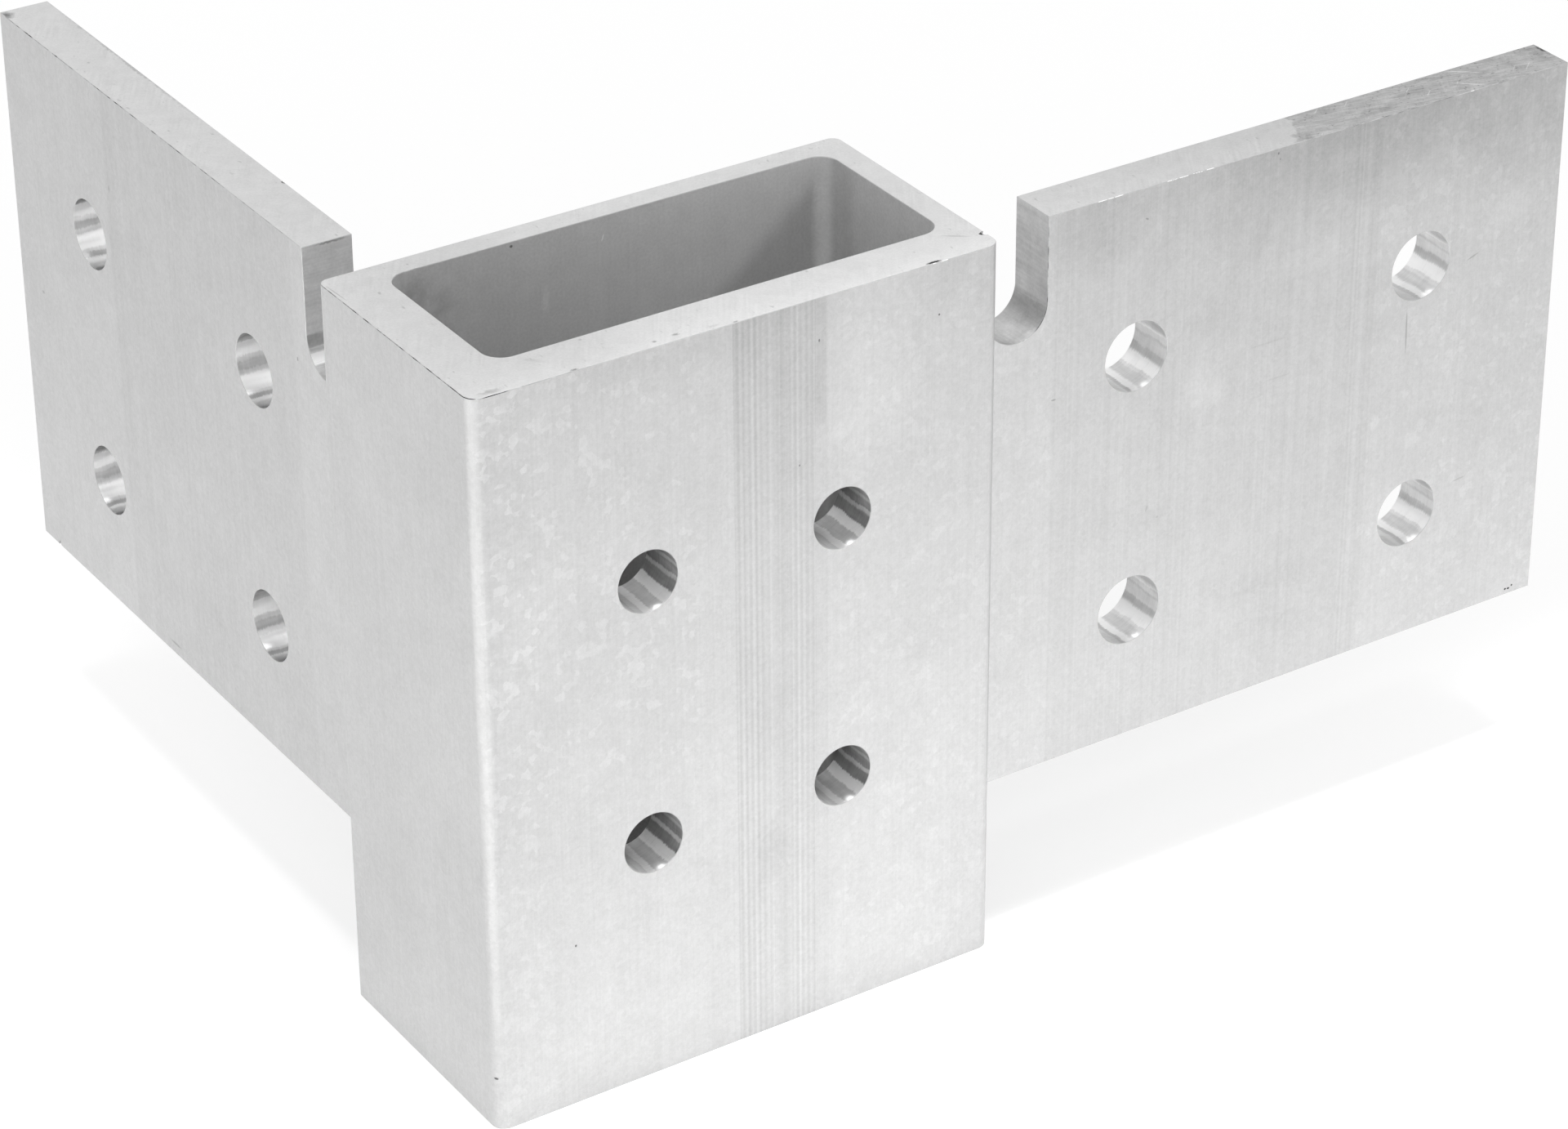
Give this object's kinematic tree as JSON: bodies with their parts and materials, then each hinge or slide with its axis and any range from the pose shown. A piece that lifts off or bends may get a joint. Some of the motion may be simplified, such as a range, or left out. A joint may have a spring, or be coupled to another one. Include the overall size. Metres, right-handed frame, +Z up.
{
  "type": "corner bracket",
  "caption": "Extruded aluminium corner bracket: a rectangular tube socket for a post, with thick drilled wings at right angles for beams and a slot where each wing leaves the tube.",
  "frame": {"origin": "centre of the post socket at the tube's lower end", "axes": "+Z up along the tube; +X along the longer wing, flush to the tube's front; +Y along the other wing, flush to the tube's left side"},
  "size_m": [0.3601, 0.281, 0.221],
  "materials": {
    "mill_aluminium": "satin mill finish"
  },
  "bodies": {
    "root": {"corner_bracket": "mill_aluminium"}
  },
  "joints": []
}
